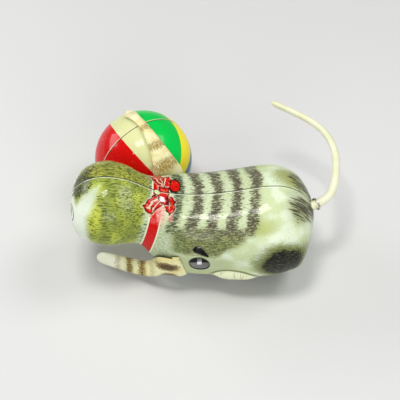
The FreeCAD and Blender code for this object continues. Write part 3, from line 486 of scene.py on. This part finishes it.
def paint_bow(p, t, colour):
    """Flat ribbon bow, printed across the seam behind the neck."""
    hair, fleck = t.hair, t.fleck
    swell = p.noise(p.vector(t.x * 0.55, t.y * 0.55, 3.0), detail=1.0)
    sway = p.noise(p.vector(t.x * 0.55, t.y * 0.55, 17.0), detail=1.0)
    x = t.x + (swell - 0.5) * 2.2
    y = t.y + (sway - 0.5) * 2.2
    wobble = (fleck - 0.5) * 0.5
    top = p.step(t.z, 34, 38)
    for corners in (BOW_TAIL, BOW_LOW_TAIL):
        tail = p.polygon(x, y, corners) + wobble
        wash = p.mix(BOW_PINK, (0.70, 0.22, 0.18), p.step(hair, 0.42, 0.60))
        colour = p.mix(colour, wash, p.step(tail, 0.5, -1.0) * p.step(y, 17.0, 11.0) * top * 0.85)
    flesh = p.mix((0.66, 0.018, 0.004), (0.34, 0.003, 0.002), p.step(hair, 0.50, 0.62))
    flesh = p.mix(flesh, (0.84, 0.24, 0.16), p.step(swell + (fleck - 0.5) * 0.3, 0.54, 0.66) * 0.65)
    for corners in (BOW_FAR_LOOP, BOW_NEAR_LOBE, BOW_NEAR_LOOP, BOW_KNOT):
        reach = p.polygon(x, y, corners) + wobble
        rim = p.mix(CREAM, (0.80, 0.40, 0.30), p.step(sway, 0.44, 0.58))
        colour = p.mix(colour, rim, p.step(reach, 1.0, 0.5) * top * 0.55)
        colour = p.mix(colour, EDGE_RED, p.step(reach, 0.45, 0.20) * top)
        colour = p.mix(colour, flesh, p.step(reach, -0.05, -0.35) * top)
    oval = p.ellipse(x, y, BOW_OVAL, 2.3, 3.9)
    colour = p.mix(colour, (0.02, 0.006, 0.004), p.step(oval, 1.26, 1.12) * top)
    oval_red = p.mix((0.70, 0.018, 0.004), (0.36, 0.004, 0.002), p.step(hair, 0.45, 0.62))
    oval_red = p.mix(oval_red, (0.84, 0.20, 0.12), p.step(fleck, 0.58, 0.70) * p.step(y, -4.0, -6.0) * 0.6)
    colour = p.mix(colour, oval_red, p.step(oval, 0.98, 0.86) * top)
    for corners in BOW_FOLDS:
        fold = p.polygon(x, y, corners)
        colour = p.mix(colour, (0.07, 0.004, 0.002), p.step(fold, 0.42, 0.14) * top * 0.8)
        colour = p.mix(colour, BOW_GLOW, p.step(fold, 0.12, -0.10) * top * 0.9)
    shade = p.ellipse(x, y, (14.4, 4.6), 1.1, 2.6)
    colour = p.mix(colour, (0.06, 0.004, 0.010), p.step(shade, 1.1, 0.5) * top * 0.85)
    gleam = p.ellipse(x, y, (17.0, 3.9), 1.4, 1.8)
    return p.mix(colour, (0.92, 0.90, 0.93), p.step(gleam, 1.05, 0.55) * top)


# ---- ball --------------------------------------------------------------------------------------
BALL_RED, BALL_CREAM, BALL_GREEN = (0.62, 0.012, 0.004), (0.68, 0.70, 0.36), (0.006, 0.56, 0.080)
BALL_YELLOW, BALL_BLUE = (0.95, 0.80, 0.002), (0.035, 0.16, 0.26)
# where each segment starts, in degrees round the axle from the side towards the head
BALL_SEGMENTS = [
    (11, BALL_RED), (60.5, BALL_CREAM), (97, BALL_GREEN), (133, BALL_YELLOW), (164, BALL_BLUE),
    (205, BALL_RED), (250, BALL_CREAM), (285, BALL_GREEN), (320, BALL_YELLOW), (345, BALL_BLUE),
]
BALL_PRINT_EDGE, BALL_BARE = 23.85, 23.7    # radii where the print ends and where the bare inside begins


def ball_print():
    p = lacquer("ball_print")
    x, y, z = p.position(BALL_CENTRE)
    across = x * BALL_SIDE.x + y * BALL_SIDE.y
    along = x * BALL_AXIS.x + y * BALL_AXIS.y
    turn = p.math("ARCTAN2", z, across) / math.tau
    turn = p.math("WRAP", turn, 1.0, 0.0)
    ramp = p.tree.nodes.new("ShaderNodeValToRGB")
    ramp.color_ramp.interpolation = "CONSTANT"
    stops = ramp.color_ramp.elements
    stops[0].position, stops[0].color = 0.0, (*BALL_BLUE, 1)
    stops.remove(stops[1])
    for degrees, tint in BALL_SEGMENTS:
        stop = stops.new(degrees / 360)
        stop.color = (*p.vivid(tint), 1)
    p.put(ramp.inputs[0], turn)
    colour = Num(p, ramp.outputs[0])
    grain = p.noise(p.vector(x * 1.4, y * 1.4, z * 1.4), detail=3.0)
    broad = p.noise(p.vector(x * 0.08, y * 0.08, z * 0.08), detail=1.0)
    colour = p.mix(colour, (0.92, 0.90, 0.70), p.step(grain, 0.60, 0.95) * 0.20)
    chips = p.step(p.noise(p.vector(x * 0.55, y * 0.55, z * 0.55), detail=1.0), 0.765, 0.785)
    colour = p.mix(colour, (0.80, 0.82, 0.74), chips * 0.8)
    # a dark line along the seam between the hemispheres, and beside it a painted highlight along the seam's
    # lip
    colour = p.mix(colour, (0.03, 0.02, 0.015), p.step(abs(along + 0.1), 0.32, 0.16) * 0.9)
    colour = p.mix(colour, (0.86, 0.80, 0.56), p.step(abs(along + 0.62), 0.36, 0.16) * 0.55)
    radius = p.root(across * across + along * along + z * z)
    inside = p.step(radius, BALL_PRINT_EDGE, BALL_BARE)
    colour = p.mix(colour, (0.50, 0.48, 0.42), inside)
    p.use("Base Color", colour)
    p.use("Metallic", inside * 0.9)
    p.use("Roughness", 0.24 + grain * 0.12)
    p.bump(broad * 0.6 + grain * 0.02 + chips * 0.02, 0.0006, 0.5)
    return p.material


# ---- forelegs ----------------------------------------------------------------------------------
LEG_CREAM, LEG_SHADE, LEG_BROWN = (0.84, 0.82, 0.48), (0.76, 0.66, 0.30), (0.13, 0.080, 0.022)
# where each brown band lies (x in mm; degrees from the ball's axle), its half width and its strength
LEFT_LEG_BANDS = [(39.2, 0.9, 0.45), (33.4, 1.5, 0.95), (27.2, 1.6, 0.97), (22.4, 0.8, 0.35)]
RIGHT_LEG_BANDS = [(36.0, 7.5, 0.95), (58.5, 4.6, 0.90), (82.0, 3.8, 0.75), (109.0, 4.5, 0.35)]


def leg_base(name):
    p = lacquer(name)
    x, y, z = p.position(BODY_ORIGIN)
    drift = p.noise(p.vector(x * 0.13, y * 0.13, z * 0.13), detail=2.0)
    fleck = p.noise(p.vector(x * 1.8, y * 1.8, z * 1.8), detail=2.0)
    p.use("Roughness", 0.28 + fleck * 0.16)
    p.bump(drift * 0.4 + fleck * 0.03, 0.0005, 0.5)
    return p, x, y, z, drift, fleck


def left_leg_print():
    p, x, y, z, drift, fleck = leg_base("left_leg_print")
    hair = p.noise(p.vector(x * 0.7, y * 1.6, z * 1.6), detail=2.0)
    colour = p.mix(LEG_CREAM, LEG_SHADE, p.step(drift + (fleck - 0.5) * 0.3, 0.45, 0.65))
    # painted highlight: the leg's forward part is lightened towards white
    colour = p.mix(colour, (0.97, 0.98, 0.80), p.step(x, 33, 42) * 0.85)
    for place, half, strength in LEFT_LEG_BANDS:
        reach = abs(x - place + (hair - 0.5) * 5.0)
        band = p.step(reach, half + 0.9, half * 0.35)
        brown = p.mix(LEG_BROWN, (0.36, 0.26, 0.08), p.step(fleck, 0.42, 0.62))
        colour = p.mix(colour, brown, band * strength)
    patch = p.ellipse(x, z, (14.9, 19.2), 6.0, 3.4) + (fleck - 0.5) * 0.9 + (hair - 0.5) * 0.6
    colour = p.mix(colour, p.mix((0.085, 0.055, 0.018), (0.30, 0.21, 0.07), p.step(patch, 0.35, 1.0)),
                   p.step(patch, 1.15, 0.75))
    lower = p.ellipse(x, z, (14.4, 10.4), 4.0, 3.6) + (fleck - 0.5) * 0.8
    colour = p.mix(colour, (0.12, 0.085, 0.03), p.step(lower, 1.25, 0.60) * 0.9)
    p.use("Base Color", colour)
    return p.material


def right_leg_print():
    p, x, y, z, drift, fleck = leg_base("right_leg_print")
    bx, by = x - (BALL_CENTRE[0] - BODY_ORIGIN[0]), y - (BALL_CENTRE[1] - BODY_ORIGIN[1])
    bz = z - BALL_CENTRE[2]
    along = bx * BALL_AXIS.x + by * BALL_AXIS.y
    across = bx * BALL_SIDE.x + by * BALL_SIDE.y
    polar = p.math("ARCTAN2", bz, along) * math.degrees(1)
    hair = p.noise(p.vector(across * 2.2, along * 0.5, bz * 0.5), detail=2.5, roughness=0.6)
    colour = p.mix(LEG_CREAM, LEG_SHADE, p.step(drift, 0.42, 0.60))
    colour = p.mix(colour, (0.92, 0.90, 0.72), p.step(fleck, 0.50, 0.66) * 0.5)
    for place, half, strength in RIGHT_LEG_BANDS:
        reach = abs(polar - place + (hair - 0.5) * 9.0)
        band = p.step(reach, half + 2.0, half * 0.4) * p.step(hair + band_fill(p, across), 0.36, 0.56)
        brown = p.mix((0.23, 0.150, 0.035), (0.50, 0.38, 0.12), p.step(fleck, 0.40, 0.60))
        colour = p.mix(colour, brown, band * strength)
    rim = p.step(abs(across), 5.6, 6.4) * p.step(polar, 60, 40)
    colour = p.mix(colour, (0.80, 0.76, 0.40), rim * 0.5)
    p.use("Base Color", colour)
    return p.material


def band_fill(p, across):
    """Bands are fuller along the middle of the leg than at its edges."""
    return p.step(abs(across), 5.5, 1.0) * 0.10


# ---- plain finishes ----------------------------------------------------------------------------
def cream_tin():
    p, x, y, *_, fleck = leg_base("cream_tin")
    tab_low, tab_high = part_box("neck_tab")
    cx, cy = ((a + b) / 2 * MM - o for a, b, o in zip(tab_low[:2], tab_high[:2], BODY_ORIGIN[:2]))
    reach = p.root((x - cx) * (x - cx) + (y - cy) * (y - cy))
    colour = p.mix((0.74, 0.80, 0.48), (0.56, 0.64, 0.32), p.step(fleck, 0.42, 0.66))
    p.use("Base Color", p.mix(colour, (0.05, 0.045, 0.03), p.step(reach, 1.12, 1.34)))
    return p.material


def rubber(name, colours, roughness, grain_size, sheen):
    p = Paint(name)
    for socket, value in (("IOR", 1.5), ("Specular IOR Level", 0.5), ("Sheen Weight", sheen)):
        p.shader.inputs[socket].default_value = value
    x, y, z = p.position(BODY_ORIGIN)
    drift = p.noise(p.vector(x * 0.10, y * 0.10, z * 0.10), detail=2.0)
    grain = p.noise(p.vector(x * grain_size, y * grain_size, z * grain_size), detail=3.0)
    colour = p.mix(colours[0], colours[1], p.step(drift + (grain - 0.5) * 0.4, 0.38, 0.64))
    specks = p.step(p.noise(p.vector(x * 1.1, y * 1.1, z * 1.1), detail=1.0), 0.74, 0.80)
    p.use("Base Color", p.mix(colour, colours[2], specks * 0.5))
    p.use("Roughness", roughness + grain * 0.16)
    p.bump(drift * 0.3 + grain * 0.12, 0.0004, 0.5)
    return p.material


def metal(name, colours, roughness, stretch, tarnish, metallic=1.0):
    """Bare metal with cloudy tarnish and brushed lines. The stretch is their fineness along x, y and z."""
    p = Paint(name)
    p.shader.inputs["IOR"].default_value = 1.5
    p.shader.inputs["Metallic"].default_value = metallic
    x, y, z = p.position(BODY_ORIGIN)
    lines = p.noise(p.vector(x * stretch[0], y * stretch[1], z * stretch[2]), detail=3.0, roughness=0.65)
    cloud = p.noise(p.vector(x * 0.22, y * 0.22, z * 0.22), detail=3.0)
    colour = p.mix(colours[0], colours[1], p.step(lines, 0.36, 0.64))
    colour = p.mix(colour, colours[2], p.step(cloud, 0.52, 0.74) * tarnish)
    p.use("Base Color", colour)
    p.use("Roughness", roughness + lines * 0.14 + cloud * 0.10)
    p.bump(lines * 0.10 + cloud * 0.10, 0.0004, 0.5)
    return p.material


TAIL_COLOURS = ((0.80, 0.81, 0.60), (0.74, 0.74, 0.48), (0.62, 0.58, 0.34))
TYRE_COLOURS = ((0.022, 0.022, 0.024), (0.045, 0.045, 0.045), (0.10, 0.095, 0.085))
TIN_COLOURS = ((0.60, 0.59, 0.55), (0.74, 0.73, 0.69), (0.34, 0.31, 0.26))
BRASS_COLOURS = ((0.66, 0.46, 0.17), (0.80, 0.60, 0.27), (0.34, 0.20, 0.08))
STEEL_COLOURS = ((0.52, 0.53, 0.54), (0.72, 0.72, 0.72), (0.28, 0.25, 0.22))
BRIGHT_COLOURS = ((0.86, 0.87, 0.90), (0.96, 0.96, 0.97), (0.60, 0.58, 0.56))
SHADE_BLACK_COLOURS = ((0.020, 0.020, 0.019), (0.036, 0.035, 0.033), (0.014, 0.012, 0.010))
BLUED_COLOURS = ((0.10, 0.12, 0.17), (0.20, 0.23, 0.30), (0.24, 0.15, 0.09))

materials = {
    "printed_tin": tabby_print(),
    "ball_tin": ball_print(),
    "cream_tin": cream_tin(),
    "cream_rubber": rubber("cream_rubber", TAIL_COLOURS, 0.34, 1.6, 0.05),
    "black_rubber": rubber("black_rubber", TYRE_COLOURS, 0.60, 2.6, 0.10),
    "steel_wire": metal("steel_wire", STEEL_COLOURS, 0.22, (2.4, 0.3, 2.4), 0.35),
    "plain_tin": metal("plain_tin", TIN_COLOURS, 0.30, (0.25, 2.6, 2.2), 0.45),
    # near-black tin: painted shade on the parts seen through the body's holes
    "shade_black_tin": metal("shade_black_tin", SHADE_BLACK_COLOURS, 0.45, (0.25, 2.6, 2.2), 0.45, metallic=0.15),
    "bright_steel": metal("bright_steel", BRIGHT_COLOURS, 0.42, (2.4, 0.3, 2.4), 0.10),
    "gear_brass": metal("gear_brass", BRASS_COLOURS, 0.26, (1.8, 0.3, 1.8), 0.50),
    "spring_steel": metal("spring_steel", BLUED_COLOURS, 0.28, (1.2, 0.2, 1.2), 0.40),
}
own_materials = {
    "left_foreleg": left_leg_print(), "right_foreleg": right_leg_print(),
    # the stop lever and the frame plates are near black: painted shade in the body's holes
    "winding_arbor": materials["bright_steel"], "stop_lever": materials["shade_black_tin"],
    "left_plate": materials["shade_black_tin"], "right_plate": materials["shade_black_tin"],
}
slots = {part["node"]: part["material_slot"] for part in frame["record"]["subparts"]}
for node, piece in frame["nodes"].items():
    material = own_materials.get(node) or materials[slots[node]]
    for slot in piece.material_slots:
        slot.material = material


# ---- floor -------------------------------------------------------------------------------------
def make_floor():
    half = 3.0
    corners = [(-half, -half, 0), (half, -half, 0), (half, half, 0), (-half, half, 0)]
    mesh = bpy.data.meshes.new("floor")
    mesh.from_pydata(corners, [], [(0, 1, 2, 3)])
    floor = bpy.data.objects.new("floor", mesh)
    bpy.context.collection.objects.link(floor)
    p = Paint("floor_paper")
    x, y, z = p.position((0, 0, 0))
    grain = p.noise(p.vector(x * 0.8, y * 0.8, z), detail=3.0)
    p.use("Base Color", p.mix((0.66, 0.66, 0.65), (0.69, 0.69, 0.68), grain))
    p.use("Roughness", 0.62 + grain * 0.1)
    mesh.materials.append(p.material)


make_floor()
